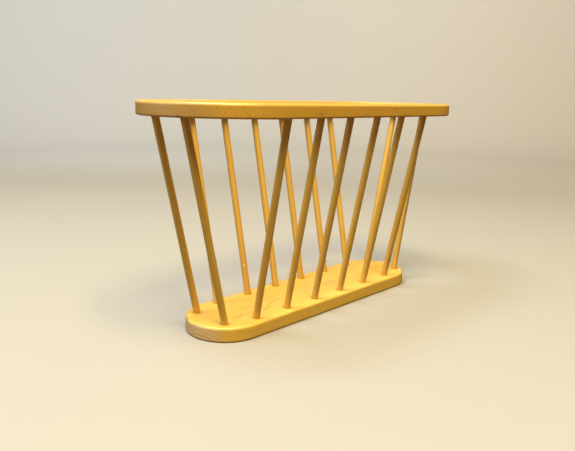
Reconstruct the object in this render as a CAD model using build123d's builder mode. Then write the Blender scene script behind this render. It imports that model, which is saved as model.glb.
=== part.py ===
from build123d import *
import os

os.makedirs("parts", exist_ok=True)

# Spindle magazine rack. Millimetres, +Z up, standing on Z = 0 with the
# long side along X. The origin is the middle of the base's underside.

# ---- driving dimensions ----
overall_height = 305.0

# solid bottom board, a bar with semicircular ends
base_length = 441.0
base_width = 111.0
base_thickness = 20.5

# top rim, a larger board of the same outline with a slot sawn out of its middle
rim_length = 556.0
rim_width = 226.0
rim_thickness = 18.0
rim_band = 35.5

# rounded arrises of both boards
upper_arris_radius = 4.0
lower_arris_radius = 2.5

# turned dowels that join the two boards
dowel_diameter = 9.5
dowel_end_chamfer = 0.8
dowels_per_row = 6

# where the long rows stand: spacing along X, and distance in from the base's edge
base_row_pitch = 59.0
rim_row_pitch = 60.0
base_row_inset = 14.75

# where the pair at each end stands: distance in from the tip of each board
base_end_inset = 27.5
rim_end_inset = 25.0
end_pair_spacing = 58.5

# drilled blind sockets that hold the dowels
base_socket_depth = 14.0
rim_socket_depth = 12.0
socket_clearance = 0.05
socket_end_gap = 0.5

# ---- worked out from the values above ----
rim_underside = overall_height - rim_thickness
dowel_radius = dowel_diameter / 2
socket_radius = dowel_radius + socket_clearance

# the rows stand in the middle of the rim's band, and lean outwards only
base_row_y = base_width / 2 - base_row_inset
rim_row_y = rim_width / 2 - rim_band / 2
base_end_x = base_length / 2 - base_end_inset
rim_end_x = rim_length / 2 - rim_end_inset
end_y = end_pair_spacing / 2


def dowel_ends(base_x, base_y, rim_x, rim_y):
    """Points where a dowel leaves the base's top face and meets the rim's underside."""
    foot = Vector(base_x, base_y, base_thickness)
    head = Vector(rim_x, rim_y, rim_underside)
    return foot, head


# ---- layout: name of each dowel, with its foot and head ----
dowels = {}
for row_name, side in (("front", -1), ("back", 1)):
    for count in range(dowels_per_row):
        step = count - (dowels_per_row - 1) / 2
        dowels[f"{row_name}_dowel_{count + 1}"] = dowel_ends(
            step * base_row_pitch, side * base_row_y, step * rim_row_pitch, side * rim_row_y
        )
for end_name, side in (("left", -1), ("right", 1)):
    for count, y in enumerate((-end_y, end_y)):
        dowels[f"{end_name}_end_dowel_{count + 1}"] = dowel_ends(
            side * base_end_x, y, side * rim_end_x, y
        )


def socket_reach(foot, head, depth):
    """Length along a leaning dowel that goes the given depth into a board."""
    return depth * (head - foot).length / (head.Z - foot.Z)


# ---- base board ----
with BuildPart() as base_board:
    with BuildSketch(Plane.XY):
        SlotOverall(base_length, base_width)
    extrude(amount=base_thickness)
    fillet(base_board.faces().sort_by(Axis.Z)[-1].edges(), upper_arris_radius)
    fillet(base_board.faces().sort_by(Axis.Z)[0].edges(), lower_arris_radius)
    # blind sockets, drilled down along each dowel from just above the board
    for foot, head in dowels.values():
        down = (foot - head).normalized()
        drill_start = foot - down * dowel_diameter
        with BuildSketch(Plane(origin=drill_start, z_dir=down)):
            Circle(socket_radius)
        reach = socket_reach(foot, head, base_socket_depth) + socket_end_gap
        extrude(amount=dowel_diameter + reach, mode=Mode.SUBTRACT)
base_board.part.label = "base_board"
export_step(base_board.part, "parts/base_board.step")

# ---- top rim ----
with BuildPart() as top_rim:
    with BuildSketch(Plane.XY.offset(rim_underside)):
        SlotOverall(rim_length, rim_width)
        SlotOverall(rim_length - 2 * rim_band, rim_width - 2 * rim_band, mode=Mode.SUBTRACT)
    extrude(amount=rim_thickness)
    fillet(top_rim.faces().sort_by(Axis.Z)[-1].edges(), upper_arris_radius)
    fillet(top_rim.faces().sort_by(Axis.Z)[0].edges(), lower_arris_radius)
    # blind sockets, drilled up along each dowel from just under the rim
    for foot, head in dowels.values():
        up = (head - foot).normalized()
        drill_start = head - up * dowel_diameter
        with BuildSketch(Plane(origin=drill_start, z_dir=up)):
            Circle(socket_radius)
        reach = socket_reach(foot, head, rim_socket_depth) + socket_end_gap
        extrude(amount=dowel_diameter + reach, mode=Mode.SUBTRACT)
top_rim.part.label = "top_rim"
export_step(top_rim.part, "parts/top_rim.step")

# ---- dowels, each one bottoming out in both of its sockets ----
for name, (foot, head) in dowels.items():
    up = (head - foot).normalized()
    below = socket_reach(foot, head, base_socket_depth)
    above = socket_reach(foot, head, rim_socket_depth)
    with BuildPart() as dowel:
        with BuildSketch(Plane(origin=foot - up * below, z_dir=up)):
            Circle(dowel_radius)
        extrude(amount=below + (head - foot).length + above)
        chamfer(dowel.edges().filter_by(GeomType.CIRCLE), dowel_end_chamfer)
    dowel.part.label = name
    export_step(dowel.part, f"parts/{name}.step")
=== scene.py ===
import math

import bmesh
import bpy
from mathutils import Euler, Matrix, Vector


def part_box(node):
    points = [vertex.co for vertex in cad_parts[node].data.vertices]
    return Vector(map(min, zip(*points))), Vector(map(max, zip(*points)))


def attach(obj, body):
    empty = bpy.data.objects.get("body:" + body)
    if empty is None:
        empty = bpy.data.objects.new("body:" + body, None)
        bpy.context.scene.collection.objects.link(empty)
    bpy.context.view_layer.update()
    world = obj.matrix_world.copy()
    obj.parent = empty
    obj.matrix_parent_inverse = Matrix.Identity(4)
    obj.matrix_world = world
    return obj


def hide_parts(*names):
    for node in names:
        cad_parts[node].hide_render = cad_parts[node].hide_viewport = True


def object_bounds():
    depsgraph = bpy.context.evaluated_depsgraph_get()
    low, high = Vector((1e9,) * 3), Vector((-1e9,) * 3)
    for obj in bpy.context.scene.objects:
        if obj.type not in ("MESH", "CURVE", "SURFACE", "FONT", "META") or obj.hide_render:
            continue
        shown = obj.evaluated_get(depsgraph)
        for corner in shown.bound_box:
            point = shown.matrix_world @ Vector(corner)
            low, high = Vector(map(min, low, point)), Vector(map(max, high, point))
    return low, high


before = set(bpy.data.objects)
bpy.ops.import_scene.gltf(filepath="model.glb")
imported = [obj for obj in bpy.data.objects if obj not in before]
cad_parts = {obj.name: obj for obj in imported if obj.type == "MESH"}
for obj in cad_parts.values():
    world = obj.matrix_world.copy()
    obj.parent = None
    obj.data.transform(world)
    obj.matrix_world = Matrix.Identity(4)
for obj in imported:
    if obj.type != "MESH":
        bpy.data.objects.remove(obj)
cad_box = [list(corner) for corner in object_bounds()]


# ---- base board ----
# A solid board of pale pine with semicircular ends, its arrises rounded over with a router and
# finished with clear satin lacquer. It has a curved crack, faint grain lines, a small knot, a
# painted shadow spot by one dowel's foot, a chipped edge, and a deeper golden area towards its
# right end, which is partly grain and partly painted shade where the lacquer shows less sheen.

base_low, base_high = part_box("base_board")
upper_arris = 0.004
lower_arris = 0.0025
outline_facets = 192
arris_facets = 6
tiny = 1e-5
smooth_below = math.radians(40)


def pick(piece, kind, wanted):
    """Selects, in edit mode, the corners, edges or faces that pass a test."""
    bpy.ops.mesh.select_mode(type=kind)
    bpy.ops.mesh.select_all(action="DESELECT")
    mesh = bmesh.from_edit_mesh(piece.data)
    for item in {"VERT": mesh.verts, "EDGE": mesh.edges, "FACE": mesh.faces}[kind]:
        item.select_set(wanted(item))
    bmesh.update_edit_mesh(piece.data)


def begin_board(name, low, high):
    """A round-ended slab: the two halves of a disc pulled apart along X, still in edit mode."""
    width = high.y - low.y
    run = high.x - low.x - width
    bpy.ops.object.select_all(action="DESELECT")
    bpy.ops.mesh.primitive_cylinder_add(
        vertices=outline_facets, radius=width / 2, depth=high.z - low.z, location=(low + high) / 2
    )
    board = bpy.context.object
    board.name = name
    bpy.ops.object.transform_apply(location=True, rotation=True, scale=True)
    bpy.ops.object.mode_set(mode="EDIT")
    bpy.ops.mesh.bisect(plane_co=(0, 0, 0), plane_no=(1, 0, 0))
    for side in (-1, 1):
        pick(board, "VERT", lambda corner: side * corner.co.x > tiny)
        bpy.ops.transform.translate(value=(side * run / 2, 0, 0))
    return board


def round_over(board, level, radius):
    """Rounds every outline edge that lies at one height, as a router's round-over cutter does."""

    def on_outline(edge):
        level_edge = all(abs(corner.co.z - level) < tiny for corner in edge.verts)
        return level_edge and any(abs(face.normal.z) < 0.5 for face in edge.link_faces)

    pick(board, "EDGE", on_outline)
    bpy.ops.mesh.bevel(offset=radius, segments=arris_facets, profile=0.5, affect="EDGES")


def finish_board(board):
    """Leaves edit mode with smooth arrises and truly flat faces."""
    bpy.ops.mesh.select_all(action="SELECT")
    bpy.ops.mesh.normals_make_consistent(inside=False)
    bpy.ops.object.mode_set(mode="OBJECT")
    bpy.ops.object.shade_smooth_by_angle(angle=smooth_below)
    bpy.ops.object.modifier_add(type="WEIGHTED_NORMAL")
    board.modifiers[-1].keep_sharp = True
    bpy.ops.object.modifier_apply(modifier=board.modifiers[-1].name)


def put(tree, kind, inputs=None, **settings):
    """Adds a node, sets its properties, and fills its inputs with plain values or with links."""
    new = tree.nodes.new(kind)
    for name, value in settings.items():
        setattr(new, name, value)
    for name, value in (inputs or {}).items():
        if isinstance(value, bpy.types.NodeSocket):
            tree.links.new(value, new.inputs[name])
        else:
            new.inputs[name].default_value = value
    return new


def maths(tree, operation, *values):
    """One math node, given as its operation and what goes into it."""
    return put(tree, "ShaderNodeMath", dict(enumerate(values)), operation=operation).outputs[0]


def vectors(tree, operation, *values):
    """One vector math node, given as its operation and what goes into it."""
    sockets = (0, "Scale") if operation == "SCALE" else (0, 1)
    node = put(tree, "ShaderNodeVectorMath", dict(zip(sockets, values)), operation=operation)
    gives_number = operation in ("LENGTH", "DISTANCE", "DOT_PRODUCT")
    return node.outputs["Value" if gives_number else "Vector"]


def ramp(tree, value, start, end, low=0.0, high=1.0):
    """A smooth step of a value, from low at start to high at end."""
    steps = {"Value": value, "From Min": start, "From Max": end, "To Min": low, "To Max": high}
    return put(tree, "ShaderNodeMapRange", steps, interpolation_type="SMOOTHSTEP").outputs[0]


def blend(tree, share, first, second, kind="MIX"):
    """A mix of two colours."""
    node = put(tree, "ShaderNodeMix", data_type="RGBA", blend_type=kind, clamp_factor=True)
    sockets = (node.inputs["Factor"], node.inputs[6], node.inputs[7])
    for socket, value in zip(sockets, (share, first, second)):
        if isinstance(value, bpy.types.NodeSocket):
            tree.links.new(value, socket)
        else:
            socket.default_value = value
    return node.outputs[2]


def stretched(tree, place, along, across):
    """A place scaled for noise that runs with the grain, which lies along X."""
    return vectors(tree, "MULTIPLY", place, (along, across, across))


def noise(tree, place, detail=2.0, rough=0.5):
    """Soft noise at a place that is already scaled."""
    values = {"Vector": place, "Scale": 1.0, "Detail": detail, "Roughness": rough}
    return put(tree, "ShaderNodeTexNoise", values)


def new_group(name, inputs, outputs):
    """An empty shader node group, with its sockets, its input node and its output node."""
    group = bpy.data.node_groups.new(name, "ShaderNodeTree")
    for label, kind, value in inputs:
        socket = group.interface.new_socket(label, in_out="INPUT", socket_type=f"NodeSocket{kind}")
        socket.default_value = value
    for label, kind in outputs:
        group.interface.new_socket(label, in_out="OUTPUT", socket_type=f"NodeSocket{kind}")
    return group, group.nodes.new("NodeGroupInput").outputs, group.nodes.new("NodeGroupOutput").inputs


def feed(tree, target, source):
    """Links a result to a group's output."""
    tree.links.new(source, target)


def dowel_line(name):
    """The middle of a dowel's lower end, the middle of its upper end, and its radius."""
    corners = [corner.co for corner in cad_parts[name].data.vertices]
    level = sum(corner.z for corner in corners) / len(corners)
    low = [corner for corner in corners if corner.z < level]
    high = [corner for corner in corners if corner.z >= level]
    foot = sum(low, Vector()) / len(low)
    head = sum(high, Vector()) / len(high)
    along = (head - foot).normalized()
    reach = [(corner - foot).dot(along) for corner in corners]
    radius = max((corner - foot - along * r).length for corner, r in zip(corners, reach))
    return foot + along * min(reach), foot + along * max(reach), radius


def seat(name, level):
    """Where a dowel's middle line crosses the face of a board."""
    foot, head = dowel_line(name)[:2]
    return foot.lerp(head, (level - foot.z) / (head.z - foot.z))


# Tree rings round a pith that runs along X: pale early wood that darkens into late wood.
tree_rings, given, result = new_group(
    "Tree Rings",
    [("Place", "Vector", (0, 0, 0)), ("Ring Spacing", "Float", 0.005), ("Wander", "Float", 0.004)],
    [("Late Wood", "Float"), ("Ring Tone", "Float")],
)
drift = noise(tree_rings, stretched(tree_rings, given["Place"], 4.5, 16)).outputs["Color"]
drift = vectors(tree_rings, "SUBTRACT", drift, (0.5, 0.5, 0.5))
drift = vectors(tree_rings, "SCALE", drift, given["Wander"])
shifted = vectors(tree_rings, "ADD", given["Place"], drift)
across = vectors(tree_rings, "MULTIPLY", shifted, (0, 1, 1))
radius = vectors(tree_rings, "LENGTH", across)
years = maths(tree_rings, "DIVIDE", radius, given["Ring Spacing"])
year = maths(tree_rings, "FLOOR", years)
season = maths(tree_rings, "FRACT", years)
tone = put(tree_rings, "ShaderNodeTexWhiteNoise", {"W": year}, noise_dimensions="1D").outputs["Value"]
autumn = ramp(tree_rings, season, 0.25, 0.88)
winter = ramp(tree_rings, season, 0.93, 1.0, 1.0, 0.0)
late = maths(tree_rings, "MULTIPLY", autumn, winter)
own_depth = maths(tree_rings, "MULTIPLY_ADD", tone, maths(tree_rings, "MULTIPLY", tone, 0.9), 0.1)
late = maths(tree_rings, "MULTIPLY", late, own_depth)
feed(tree_rings, result["Late Wood"], late)
feed(tree_rings, result["Ring Tone"], tone)

# Fibres that run with the grain: long soft streaks, fine hairs, short dark flecks and dashes,
# and broad patches of paler wood.
wood_fibre, given, result = new_group(
    "Wood Fibre",
    [("Place", "Vector", (0, 0, 0))],
    [("Streak", "Float"), ("Hair", "Float"), ("Fleck", "Float"), ("Dash", "Float"), ("Patch", "Float")],
)
streak = noise(wood_fibre, stretched(wood_fibre, given["Place"], 8, 210), 3, 0.6).outputs[0]
hair = noise(wood_fibre, stretched(wood_fibre, given["Place"], 45, 1500), 2, 0.5).outputs[0]
fleck = noise(wood_fibre, stretched(wood_fibre, given["Place"], 190, 1100), 1, 0.4).outputs[0]
dash = noise(wood_fibre, stretched(wood_fibre, given["Place"], 34, 430), 2, 0.5).outputs[0]
patch = noise(wood_fibre, stretched(wood_fibre, given["Place"], 7, 22), 2, 0.5).outputs[0]
feed(wood_fibre, result["Streak"], ramp(wood_fibre, streak, 0.32, 0.68))
feed(wood_fibre, result["Hair"], ramp(wood_fibre, hair, 0.3, 0.7))
feed(wood_fibre, result["Fleck"], ramp(wood_fibre, fleck, 0.68, 0.78))
feed(wood_fibre, result["Dash"], ramp(wood_fibre, dash, 0.60, 0.72))
feed(wood_fibre, result["Patch"], ramp(wood_fibre, patch, 0.3, 0.7))

# Where fibres are cut across, the wood drinks more finish and looks darker and duller.
end_grain, given, result = new_group(
    "End Grain", [("Start", "Float", 0.62), ("Full", "Float", 0.88)], [("End", "Float")]
)
facing = put(end_grain, "ShaderNodeTexCoord").outputs["Normal"]
facing = put(end_grain, "ShaderNodeSeparateXYZ", {0: facing}).outputs["X"]
facing = maths(end_grain, "ABSOLUTE", facing)
feed(end_grain, result["End"], ramp(end_grain, facing, given["Start"], given["Full"]))

# A hairline crack or a scratch: a thin dark line between two points, wandering a little.
hairline, given, result = new_group(
    "Hairline",
    [
        ("Place", "Vector", (0, 0, 0)),
        ("From", "Vector", (0, 0, 0)),
        ("To", "Vector", (1, 0, 0)),
        ("Half Width", "Float", 0.0005),
    ],
    [("Line", "Float")],
)
shake = noise(hairline, stretched(hairline, given["Place"], 160, 160), 1).outputs["Color"]
shake = vectors(hairline, "SUBTRACT", shake, (0.5, 0.5, 0.5))
shake = vectors(hairline, "SCALE", shake, 0.0022)
shaken = vectors(hairline, "ADD", given["Place"], shake)
reach = vectors(hairline, "SUBTRACT", given["To"], given["From"])
gone = vectors(hairline, "SUBTRACT", shaken, given["From"])
whole = vectors(hairline, "DOT_PRODUCT", reach, reach)
part = vectors(hairline, "DOT_PRODUCT", gone, reach)
share = put(
    hairline, "ShaderNodeMath", {0: part, 1: whole}, operation="DIVIDE", use_clamp=True
).outputs[0]
nearest = vectors(hairline, "SCALE", reach, share)
away = vectors(hairline, "DISTANCE", gone, nearest)
feed(hairline, result["Line"], ramp(hairline, away, 0.0, given["Half Width"], 1.0, 0.0))

# A small knot: a dark heart, and grain that swirls round it in a few dark rings.
knot, given, result = new_group(
    "Knot",
    [
        ("Place", "Vector", (0, 0, 0)),
        ("Centre", "Vector", (0, 0, 0)),
        ("Half Size", "Vector", (0.004, 0.002, 0.002)),
    ],
    [("Heart", "Float"), ("Swirl", "Float")],
)
rough_place = noise(knot, stretched(knot, given["Place"], 220, 400), 2).outputs["Color"]
rough_place = vectors(knot, "SUBTRACT", rough_place, (0.5, 0.5, 0.5))
rough_place = vectors(knot, "SCALE", rough_place, 0.003)
rough_place = vectors(knot, "ADD", rough_place, given["Place"])
offset = vectors(knot, "SUBTRACT", rough_place, given["Centre"])
offset = vectors(knot, "DIVIDE", offset, given["Half Size"])
away = vectors(knot, "LENGTH", offset)
feed(knot, result["Heart"], ramp(knot, away, 0.5, 1.1, 1.0, 0.0))
waves = maths(knot, "SINE", maths(knot, "MULTIPLY", away, 7.5))
swirl = maths(knot, "MULTIPLY", ramp(knot, waves, 0.1, 0.9), ramp(knot, away, 1.2, 3.2, 1.0, 0.0))
feed(knot, result["Swirl"], swirl)

# Where the dowels enter a board: a thin dark ring round each, painted contact shadow, and a faint
# darker halo outside it, painted shade. The rows' dowels stand at half pitches, so one sum places all
# six of a row.
dowel_seats, given, result = new_group(
    "Dowel Seats",
    [
        ("Place", "Vector", (0, 0, 0)),
        ("Row Pitch", "Float", 0.06),
        ("Row Side", "Float", 0.04),
        ("End Reach", "Float", 0.2),
        ("End Side", "Float", 0.03),
        ("Level", "Float", 0.02),
    ],
    [("Seat Shadow", "Float"), ("Seat Shade", "Float")],
)
spot = put(dowel_seats, "ShaderNodeSeparateXYZ", {0: given["Place"]}).outputs
along = maths(dowel_seats, "ABSOLUTE", spot["X"])
aside = maths(dowel_seats, "ABSOLUTE", spot["Y"])
in_pitch = maths(dowel_seats, "WRAP", spot["X"], given["Row Pitch"], 0.0)
half_pitch = maths(dowel_seats, "MULTIPLY", given["Row Pitch"], 0.5)
in_pitch = maths(dowel_seats, "SUBTRACT", in_pitch, half_pitch)
half_row = maths(dowel_seats, "MULTIPLY", given["Row Pitch"], 3.0)
past_row = maths(dowel_seats, "GREATER_THAN", along, half_row)
from_row = put(
    dowel_seats,
    "ShaderNodeCombineXYZ",
    {0: in_pitch, 1: maths(dowel_seats, "SUBTRACT", aside, given["Row Side"]), 2: past_row},
).outputs[0]
from_end = put(
    dowel_seats,
    "ShaderNodeCombineXYZ",
    {
        0: maths(dowel_seats, "SUBTRACT", along, given["End Reach"]),
        1: maths(dowel_seats, "SUBTRACT", aside, given["End Side"]),
    },
).outputs[0]
from_row = vectors(dowel_seats, "LENGTH", from_row)
from_end = vectors(dowel_seats, "LENGTH", from_end)
away = maths(dowel_seats, "MINIMUM", from_row, from_end)
off_level = maths(dowel_seats, "ABSOLUTE", maths(dowel_seats, "SUBTRACT", spot["Z"], given["Level"]))
on_level = maths(dowel_seats, "LESS_THAN", off_level, 0.0005)
uneven = noise(dowel_seats, stretched(dowel_seats, given["Place"], 260, 260), 2).outputs[0]
away = maths(dowel_seats, "ADD", away, maths(dowel_seats, "MULTIPLY_ADD", uneven, 0.0016, -0.0008))
# Painted contact shadow: a thin dark ring round each dowel where it enters the board.
seat_shadow = maths(dowel_seats, "MULTIPLY", ramp(dowel_seats, away, 0.0053, 0.0061, 1.0, 0.0), on_level)
# Painted shade: a faint darker halo outside that ring.
overlay = maths(dowel_seats, "MULTIPLY", ramp(dowel_seats, away, 0.0055, 0.0115, 1.0, 0.0), on_level)
feed(dowel_seats, result["Seat Shadow"], seat_shadow)
feed(dowel_seats, result["Seat Shade"], overlay)

# The rounded arrises of a round-ended board: the upper one paler in patches, as rubbing with
# painted sheen, the lower one darker and duller in blotches.
board_edges, given, result = new_group(
    "Board Edges",
    [
        ("Place", "Vector", (0, 0, 0)),
        ("Half Run", "Float", 0.2),
        ("Half Width", "Float", 0.05),
        ("Top", "Float", 0.02),
        ("Bottom", "Float", 0.0),
    ],
    [("Sheen And Rubbing", "Float"), ("Lower Arris Blotches", "Float")],
)
spot = put(board_edges, "ShaderNodeSeparateXYZ", {0: given["Place"]}).outputs
past_run = maths(board_edges, "SUBTRACT", maths(board_edges, "ABSOLUTE", spot["X"]), given["Half Run"])
past_run = maths(board_edges, "MAXIMUM", past_run, 0.0)
from_spine = put(board_edges, "ShaderNodeCombineXYZ", {0: past_run, 1: spot["Y"]}).outputs[0]
from_spine = vectors(board_edges, "LENGTH", from_spine)
inside = maths(board_edges, "SUBTRACT", given["Half Width"], from_spine)
below = maths(board_edges, "SUBTRACT", given["Top"], spot["Z"])
above = maths(board_edges, "SUBTRACT", spot["Z"], given["Bottom"])
worn = noise(board_edges, stretched(board_edges, given["Place"], 38, 120), 3, 0.6).outputs[0]
upper = ramp(board_edges, maths(board_edges, "ADD", inside, below), 0.0015, 0.0058, 1.0, 0.0)
lower = ramp(board_edges, maths(board_edges, "ADD", inside, above), 0.0010, 0.0045, 1.0, 0.0)
# Painted sheen with rubbing: the upper arris paler in patches.
sheen_and_rubbing = maths(board_edges, "MULTIPLY", upper, ramp(board_edges, worn, 0.30, 0.62))
# The lower arris darker and duller in blotches.
lower_arris_blotches = maths(board_edges, "MULTIPLY", lower, ramp(board_edges, worn, 0.40, 0.70))
feed(board_edges, result["Sheen And Rubbing"], sheen_and_rubbing)
feed(board_edges, result["Lower Arris Blotches"], lower_arris_blotches)


def place_group(tree, group, values):
    """Places a node group in a material and fills its inputs."""
    node = tree.nodes.new("ShaderNodeGroup")
    node.node_tree = group
    for name, value in values.items():
        if isinstance(value, bpy.types.NodeSocket):
            tree.links.new(value, node.inputs[name])
        else:
            node.inputs[name].default_value = value
    return node.outputs


def layer(tree, colour, mask, strength, overlay):
    """Lays an overlay colour over a colour, as strongly as the mask and the strength say."""
    return blend(tree, maths(tree, "MULTIPLY", mask, strength), colour, overlay)


def lacquered_pine(
    name, low, high, tone, end_grain_and_cool_light_tone, pith, tilt, spacing, seat_level, cracks, knots, patches
):
    """Pine board: rings round a pith that runs through the given point, under satin lacquer."""
    material = bpy.data.materials.new(name)
    material.use_nodes = True
    tree = material.node_tree
    shader = tree.nodes["Principled BSDF"]
    place = put(tree, "ShaderNodeTexCoord").outputs["Object"]
    turn = Euler([math.radians(angle) for angle in tilt])
    shift = -(turn.to_matrix() @ Vector(pith))
    turned = {"Vector": place, "Location": shift, "Rotation": turn}
    in_tree = put(tree, "ShaderNodeMapping", turned, vector_type="POINT").outputs[0]
    rings = place_group(tree, tree_rings, {"Place": in_tree, "Ring Spacing": spacing, "Wander": 0.006})
    fibre = place_group(tree, wood_fibre, {"Place": in_tree})
    ends = place_group(tree, end_grain, {})
    half_width = (high.y - low.y) / 2
    half_run = (high.x - low.x) / 2 - half_width
    edges = place_group(
        tree,
        board_edges,
        {"Place": place, "Half Run": half_run, "Half Width": half_width, "Top": high.z, "Bottom": low.z},
    )
    row_seats = [seat(f"front_dowel_{count}", seat_level) for count in range(1, 7)]
    end_spot = seat("right_end_dowel_1", seat_level)
    seats = place_group(
        tree,
        dowel_seats,
        {
            "Place": place,
            "Row Pitch": 2 * min(abs(spot.x) for spot in row_seats),
            "Row Side": abs(row_seats[3].y),
            "End Reach": abs(end_spot.x),
            "End Side": abs(end_spot.y),
            "Level": seat_level,
        },
    )
    late_share = maths(tree, "MULTIPLY", rings["Late Wood"], 0.60)
    colour = blend(tree, late_share, (0.85, 0.54, 0.085, 1), (0.65, 0.31, 0.022, 1))
    colour = layer(tree, colour, rings["Ring Tone"], 0.20, (0.90, 0.62, 0.14, 1))
    colour = layer(tree, colour, fibre["Streak"], 0.34, (0.78, 0.41, 0.030, 1))
    colour = layer(tree, colour, fibre["Patch"], 0.34, (0.92, 0.63, 0.13, 1))
    colour = layer(tree, colour, fibre["Dash"], 0.45, (0.54, 0.26, 0.03, 1))
    colour = layer(tree, colour, fibre["Hair"], 0.14, (0.55, 0.26, 0.03, 1))
    colour = layer(tree, colour, fibre["Fleck"], 0.35, (0.40, 0.18, 0.03, 1))
    # Real end grain is darker and duller; the greyer end tone is painted cool light from the left.
    end_rings = maths(tree, "MULTIPLY", rings["Late Wood"], 0.7)
    end_grain_and_cool_light = blend(tree, end_rings, end_grain_and_cool_light_tone, (0.42, 0.24, 0.08, 1))
    colour = layer(tree, colour, ends["End"], 0.80, end_grain_and_cool_light)
    # Painted sheen with rubbing on the upper arris.
    colour = layer(tree, colour, edges["Sheen And Rubbing"], 0.30, (0.95, 0.66, 0.19, 1))
    colour = layer(tree, colour, edges["Lower Arris Blotches"], 0.35, (0.45, 0.26, 0.06, 1))
    # Painted shade round each dowel seat, then the painted contact shadow ring.
    colour = layer(tree, colour, seats["Seat Shade"], 0.22, (0.60, 0.28, 0.03, 1))
    colour = layer(tree, colour, seats["Seat Shadow"], 0.70, (0.28, 0.12, 0.02, 1))
    raised_hair = maths(tree, "MULTIPLY", fibre["Hair"], 0.5)
    relief = maths(tree, "MULTIPLY_ADD", rings["Late Wood"], 0.5, raised_hair)
    for start, end, line_width, depth in cracks:
        line = place_group(
            tree, hairline, {"Place": place, "From": start, "To": end, "Half Width": line_width}
        )["Line"]
        line = maths(tree, "MULTIPLY", line, depth)
        colour = blend(tree, line, colour, (0.20, 0.08, 0.015, 1))
        relief = maths(tree, "SUBTRACT", relief, line)
    for centre, half_size, depth in knots:
        mark = place_group(tree, knot, {"Place": place, "Centre": centre, "Half Size": half_size})
        colour = layer(tree, colour, mark["Swirl"], 0.6 * depth, (0.50, 0.22, 0.02, 1))
        colour = layer(tree, colour, mark["Heart"], depth, (0.24, 0.10, 0.02, 1))
    for centre, half_size, depth, overlay in patches:
        mark = place_group(tree, knot, {"Place": place, "Centre": centre, "Half Size": half_size})
        colour = layer(tree, colour, mark["Heart"], depth, overlay)
    # Each board's whole colour is multiplied by its tone. Both boards are of one pine; their tones
    # differ as painted light and shade: the rim, which the lamps reach unshaded, is dimmed, and the
    # base, which the rim shades, is brightened.
    tree.links.new(blend(tree, 1.0, colour, tone, "MULTIPLY"), shader.inputs["Base Color"])
    dullness = maths(tree, "MULTIPLY_ADD", fibre["Streak"], 0.10, 0.36)
    dullness = maths(tree, "MULTIPLY_ADD", ends["End"], 0.14, dullness)
    dullness = maths(tree, "MULTIPLY_ADD", edges["Lower Arris Blotches"], 0.15, dullness)
    tree.links.new(dullness, shader.inputs["Roughness"])
    shader.inputs["Coat Weight"].default_value = 0.6
    shader.inputs["Coat Roughness"].default_value = 0.40
    shader.inputs["Specular IOR Level"].default_value = 0.4
    bump = put(tree, "ShaderNodeBump", {"Height": relief, "Strength": 0.15, "Distance": 0.0004})
    tree.links.new(bump.outputs[0], shader.inputs["Normal"])
    return material


base_board = begin_board("pine_base_board", base_low, base_high)
round_over(base_board, base_high.z, upper_arris)
round_over(base_board, base_low.z, lower_arris)
finish_board(base_board)
base_top = base_high.z

# each crack, grain line or chip: where it starts and ends, half its width, and how dark it is
base_cracks = [
    ((-0.1078, -0.0227, base_top), (-0.0922, -0.0126, base_top), 0.0010, 1.0),
    ((-0.0922, -0.0126, base_top), (-0.0769, -0.0070, base_top), 0.0010, 1.0),
    ((-0.0769, -0.0070, base_top), (-0.0526, -0.0060, base_top), 0.0009, 0.85),
    ((-0.1150, -0.0237, base_top), (-0.0874, -0.0349, base_top), 0.0014, 0.75),
    ((0.0292, -0.0069, base_top), (0.0555, -0.0102, base_top), 0.0018, 0.55),
    ((0.0469, 0.0003, base_top), (0.0699, -0.0066, base_top), 0.0018, 0.55),
    ((0.1189, 0.0066, base_top), (0.1319, -0.0049, base_top), 0.0018, 0.45),
    ((0.0052, -0.0275, base_top), (0.0289, -0.0338, base_top), 0.0018, 0.40),
    ((-0.2125, 0.0263, base_top - 0.0012), (-0.2160, 0.0186, base_top - 0.0012), 0.0011, 0.95),
]

# each knot or dark spot: its middle, half its size, and how dark it is; patches give a colour too
base_knots = [
    ((-0.1700, -0.0224, base_top), (0.0026, 0.0022, 0.0020), 0.75),
    ((-0.1575, -0.0205, base_top), (0.0042, 0.0014, 0.0020), 0.60),
    ((-0.1630, -0.0255, base_top), (0.0020, 0.0014, 0.0020), 0.60),
    # Painted contact shadow: a dark spot by the foot of a left end dowel.
    ((-0.1968, -0.0257, base_top), (0.0022, 0.0018, 0.0020), 0.90),
]
# Partly grain and partly painted shade: a deeper golden area towards the right end, where the lacquer
# shows less sheen.
base_patches = [((0.1764, -0.0037, base_top), (0.0240, 0.0160, 0.0030), 0.75, (0.80, 0.42, 0.0, 1))]
base_board.data.materials.append(
    lacquered_pine(
        # its tone brightens the base as painted light
        "lacquered base board", base_low, base_high, (1.06, 1.03, 1.02, 1), (0.72, 0.51, 0.26, 1),
        (-0.2205, -0.010, -0.030), (0, 2.2, 0.8), 0.0055,
        base_top, base_cracks, base_knots, base_patches
    )
)
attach(base_board, "root")
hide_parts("base_board")


# ---- top rim ----
# A wider board of the same pine, with a long slot sawn out of its middle, which leaves a band
# 35.5 mm wide. All four of its arrises are rounded over, inside the slot as well. Its front edge
# has a hair crack, a knot and a pale patch, and its lower arris has a dark chip.

rim_low, rim_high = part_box("top_rim")
rim_run = (rim_high.x - rim_low.x) - (rim_high.y - rim_low.y)
slot_half = min(
    abs(corner.co.y)
    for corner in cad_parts["top_rim"].data.vertices
    if abs(corner.co.x) < rim_run / 2 + 0.001
)
rim_band = rim_high.y - slot_half

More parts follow.
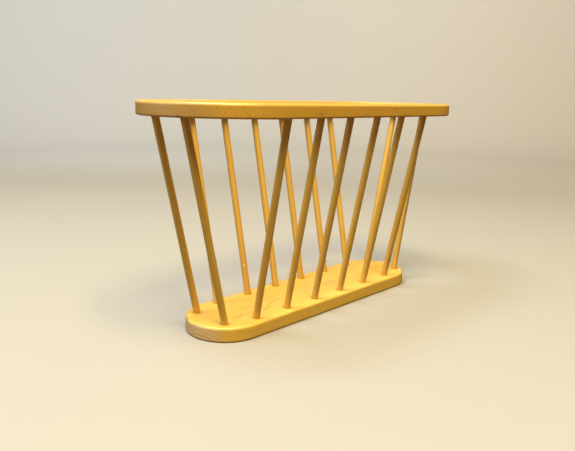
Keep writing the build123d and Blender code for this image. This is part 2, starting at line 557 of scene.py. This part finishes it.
top_rim = begin_board("pine_top_rim", rim_low, rim_high)
pick(top_rim, "FACE", lambda face: abs(face.normal.z) > 0.9)
bpy.ops.mesh.inset(thickness=rim_band)
bpy.ops.mesh.delete(type="FACE")
pick(top_rim, "EDGE", lambda edge: edge.is_boundary)
bpy.ops.mesh.bridge_edge_loops()
round_over(top_rim, rim_high.z, upper_arris)
round_over(top_rim, rim_low.z, lower_arris)
finish_board(top_rim)
rim_cracks = [((0.0466, rim_low.y, 0.2995), (0.0480, rim_low.y, 0.2930), 0.0010, 0.70)]
rim_knots = [
    ((-0.1096, rim_low.y, 0.2925), (0.0050, 0.0030, 0.0013), 0.50),
    ((-0.2700, -0.0400, rim_low.z + 0.0007), (0.0030, 0.0024, 0.0019), 1.0),
]
rim_patches = [((-0.1680, rim_low.y, 0.2890), (0.0060, 0.0040, 0.0016), 0.30, (0.92, 0.66, 0.30, 1))]
top_rim.data.materials.append(
    lacquered_pine(
        # its tone dims and greys the rim as painted shade
        "lacquered top rim", rim_low, rim_high, (0.84, 0.74, 0.60, 1), (0.60, 0.38, 0.12, 1),
        (-0.278, -0.021, 0.2700), (0, -0.6, 0.8), 0.0041,
        rim_low.z, rim_cracks, rim_knots, rim_patches
    )
)
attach(top_rim, "root")
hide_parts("top_rim")


# ---- dowels ----
# Sixteen lengths of round pine dowel, glued into blind holes in both boards. The holes are left
# out here, so each end is sunk in solid wood. Each dowel was cut from straight-grained stock, so
# its grain runs along it, and no two have the same tone.

dowel_names = sorted(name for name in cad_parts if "dowel" in name)
stock_foot, stock_head, dowel_radius = dowel_line(dowel_names[0])
stock_length = (stock_head - stock_foot).length
dowel_facets = 40
end_chamfer = 0.0008
stock_sections = 12

bpy.ops.object.select_all(action="DESELECT")
bpy.ops.mesh.primitive_cylinder_add(
    vertices=dowel_facets, radius=dowel_radius, depth=stock_length, location=(0, 0, stock_length / 2)
)
stock_dowel = bpy.context.object
stock_dowel.name = "dowel_stock"
bpy.ops.object.transform_apply(location=True, rotation=True, scale=True)
bpy.ops.object.mode_set(mode="EDIT")
pick(stock_dowel, "EDGE", lambda edge: any(abs(face.normal.z) > 0.9 for face in edge.link_faces))
bpy.ops.mesh.bevel(offset=end_chamfer, segments=2, profile=0.5, affect="EDGES")
for cut in range(1, stock_sections):
    bpy.ops.mesh.select_all(action="SELECT")
    bpy.ops.mesh.bisect(plane_co=(0, 0, stock_length * cut / stock_sections), plane_no=(0, 0, 1))
bpy.ops.object.mode_set(mode="OBJECT")
bpy.ops.object.shade_smooth_by_angle(angle=smooth_below)


def place_in_tree(count, spot):
    """Where a point of one dowel lay in the tree, with its length along X and at its own turn."""
    along_tree = count * 0.71
    from_pith = 0.030 + 0.006 * (count % 5)
    to_side = 0.009 * (count % 4) - 0.012
    own_turn = Matrix.Rotation(count * 2.4, 3, "X")
    return own_turn @ Vector((spot.z, spot.x, spot.y)) + Vector((along_tree, from_pith, to_side))


# A pin knot low on one dowel, and low on another a small dent's glint painted as a pale highlight:
# how far up the dowel from its lower end, at what angle round it, and the colours of the mark's
# middle and of the rings round it.
dowel_mark_half_size = (0.0022, 0.0013, 0.0013)
dowel_marks = [
    ("front_dowel_6", 0.0437, math.radians(158.5), (0.22, 0.10, 0.02, 1), (0.48, 0.24, 0.04, 1)),
    # Painted highlight: the glint of a small dent, as a pale speck.
    ("back_dowel_2", 0.0589, math.radians(-41.7), (1.0, 0.86, 0.50, 1), (0.66, 0.34, 0.03, 1)),
]
dowel_wood = bpy.data.materials.new("lacquered dowel")
dowel_wood.use_nodes = True
tree = dowel_wood.node_tree
shader = tree.nodes["Principled BSDF"]
place = put(tree, "ShaderNodeAttribute", attribute_name="place_in_stock").outputs["Vector"]
own_tone = put(tree, "ShaderNodeAttribute", attribute_name="stock_tone").outputs["Fac"]
rings = place_group(tree, tree_rings, {"Place": place, "Ring Spacing": 0.0024, "Wander": 0.003})
fibre = place_group(tree, wood_fibre, {"Place": place})
colour = blend(tree, own_tone, (0.82, 0.50, 0.080, 1), (0.70, 0.42, 0.075, 1))
colour = layer(tree, colour, rings["Late Wood"], 0.45, (0.56, 0.25, 0.015, 1))
colour = layer(tree, colour, fibre["Streak"], 0.30, (0.64, 0.32, 0.03, 1))
colour = layer(tree, colour, fibre["Hair"], 0.12, (0.42, 0.22, 0.06, 1))
colour = layer(tree, colour, fibre["Fleck"], 0.35, (0.33, 0.16, 0.04, 1))
for name, height, side, heart, ring in dowel_marks:
    spot = Vector((dowel_radius * math.cos(side), dowel_radius * math.sin(side), height))
    spot = place_in_tree(dowel_names.index(name), spot)
    mark = place_group(tree, knot, {"Place": place, "Centre": spot, "Half Size": dowel_mark_half_size})
    colour = layer(tree, colour, mark["Swirl"], 0.5, ring)
    colour = layer(tree, colour, mark["Heart"], 0.9, heart)
tree.links.new(colour, shader.inputs["Base Color"])
tree.links.new(maths(tree, "MULTIPLY_ADD", fibre["Streak"], 0.12, 0.40), shader.inputs["Roughness"])
shader.inputs["Coat Weight"].default_value = 0.8
shader.inputs["Coat Roughness"].default_value = 0.42
shader.inputs["Specular IOR Level"].default_value = 0.4
relief = maths(tree, "MULTIPLY_ADD", fibre["Streak"], 0.5, maths(tree, "MULTIPLY", fibre["Hair"], 0.5))
bump = put(tree, "ShaderNodeBump", {"Height": relief, "Strength": 0.15, "Distance": 0.0003})
tree.links.new(bump.outputs[0], shader.inputs["Normal"])
stock_dowel.data.materials.append(dowel_wood)

tone_step = 0.618
for count, name in enumerate(dowel_names):
    foot, head = dowel_line(name)[:2]
    dowel = stock_dowel.copy()
    dowel.data = stock_dowel.data.copy()
    dowel.name = f"pine_{name}"
    bpy.context.collection.objects.link(dowel)
    places = [place_in_tree(count, corner.co) for corner in dowel.data.vertices]
    in_stock = dowel.data.attributes.new("place_in_stock", "FLOAT_VECTOR", "POINT")
    in_stock.data.foreach_set("vector", [number for spot in places for number in spot])
    tones = dowel.data.attributes.new("stock_tone", "FLOAT", "POINT")
    tones.data.foreach_set("value", [(count * tone_step) % 1.0] * len(places))
    to_length = Matrix.Diagonal((1, 1, (head - foot).length / stock_length, 1))
    lean = (head - foot).to_track_quat("Z", "X").to_matrix().to_4x4()
    dowel.data.transform(Matrix.Translation(foot) @ lean @ to_length)
    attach(dowel, "root")
    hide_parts(name)
bpy.data.objects.remove(stock_dowel)


# ---- floor and studio light ----
# A plain pale floor that curves up into a backdrop, dark to bounced light so that it doesn't
# brighten the rack. It is lit by a cool soft light overhead, a warm one in front, a weak cool one
# behind on the left like a window, and two lights, one cool and one warm, on the backdrop.

floor_radius = 4
backdrop_height = 3
backdrop_bend = 1.4
backdrop_starts = 0.25
pale_grey = (0.42, 0.39, 0.35, 1)

bpy.ops.object.select_all(action="DESELECT")
bpy.ops.mesh.primitive_cylinder_add(
    vertices=96,
    radius=floor_radius,
    depth=backdrop_height,
    location=(0, 0, cad_box[0][2] + backdrop_height / 2),
)
floor = bpy.context.object
floor.name = "floor"
bpy.ops.object.mode_set(mode="EDIT")
pick(floor, "FACE", lambda face: face.normal.z > 0.9)
bpy.ops.mesh.delete(type="FACE")
pick(floor, "EDGE", lambda edge: all(corner.co.z < 0 for corner in edge.verts))
bpy.ops.mesh.bevel(offset=backdrop_bend, segments=16, profile=0.5, affect="EDGES")
bpy.ops.mesh.select_all(action="SELECT")
bpy.ops.mesh.flip_normals()
bpy.ops.object.mode_set(mode="OBJECT")
bpy.ops.object.shade_smooth_by_angle(angle=smooth_below)
floor_paint = bpy.data.materials.new("pale floor")
floor_paint.use_nodes = True
tree = floor_paint.node_tree
seen = put(tree, "ShaderNodeLightPath").outputs["Is Camera Ray"]
colour = blend(tree, seen, (0.08, 0.05, 0.025, 1), pale_grey)
tree.links.new(colour, tree.nodes["Principled BSDF"].inputs["Base Color"])
tree.nodes["Principled BSDF"].inputs["Roughness"].default_value = 0.6
floor.data.materials.append(floor_paint)
backdrop_paint = bpy.data.materials.new("pale backdrop")
backdrop_paint.use_nodes = True
shader = backdrop_paint.node_tree.nodes["Principled BSDF"]
shader.inputs["Base Color"].default_value = pale_grey
shader.inputs["Roughness"].default_value = 0.6
floor.data.materials.append(backdrop_paint)
for face in floor.data.polygons:
    face.material_index = 1 if face.center.z > backdrop_starts else 0

rack_middle = (Vector(cad_box[0]) + Vector(cad_box[1])) / 2


def soft_light(name, place, size, power, colour, aim):
    """A square area light, turned to face what it lights."""
    lamp = bpy.data.lights.new(name, "AREA")
    lamp.size = size
    lamp.energy = power
    lamp.color = colour
    holder = bpy.data.objects.new(name, lamp)
    bpy.context.collection.objects.link(holder)
    holder.location = place
    holder.rotation_euler = (aim - Vector(place)).to_track_quat("-Z", "Y").to_euler()


soft_light("overhead softbox", (-0.95, 0.5, 2.9), 1.2, 82, (0.74, 0.84, 1.0), rack_middle)
soft_light("front softbox", (-0.7, -1.15, 3.2), 1.5, 164, (1.0, 0.86, 0.48), rack_middle)
soft_light("window light", (-2.1, 1.27, 1.0), 1.0, 14, (0.80, 0.92, 1.0), rack_middle)
soft_light("cool backdrop light", (0.5, 1.9, 1.8), 1.2, 46, (0.72, 0.86, 1.0), Vector((2.0, 3.4, 1.2)))
soft_light("warm backdrop light", (2.0, 1.0, 1.8), 1.2, 24, (1.0, 0.88, 0.66), Vector((3.6, 1.8, 0.8)))

world = bpy.data.worlds.new("studio")
bpy.context.scene.world = world
world.use_nodes = True
world.node_tree.nodes["Background"].inputs["Color"].default_value = (1.0, 0.86, 0.60, 1)
world.node_tree.nodes["Background"].inputs["Strength"].default_value = 0.3
bpy.context.scene.view_settings.view_transform = "Standard"


# ---- camera ----
# It stands low at the rack's front left corner, just above the rim, and is tilted a little.

camera_away = 0.9012
camera_side = math.radians(-48.36)
camera_height = 0.3151
camera_heading = math.radians(-46.245)
camera_pitch = math.radians(12.275)
camera_roll = math.radians(1.278)

ahead = Vector((
    -math.sin(camera_heading) * math.cos(camera_pitch),
    math.cos(camera_heading) * math.cos(camera_pitch),
    -math.sin(camera_pitch),
))
level_right = Vector((math.cos(camera_heading), math.sin(camera_heading), 0))
level_up = level_right.cross(ahead)
right = level_right * math.cos(camera_roll) + level_up * math.sin(camera_roll)
up = right.cross(ahead)
camera_data = bpy.data.cameras.new("camera")
camera_data.sensor_width = 36
camera_data.lens = 37.73
camera = bpy.data.objects.new("camera", camera_data)
bpy.context.collection.objects.link(camera)
stand_x = math.sin(camera_side) * camera_away
stand_y = -math.cos(camera_side) * camera_away
stand = Vector((stand_x, stand_y, camera_height))
camera.matrix_world = Matrix.Translation(stand) @ Matrix((right, up, -ahead)).transposed().to_4x4()
bpy.context.scene.camera = camera
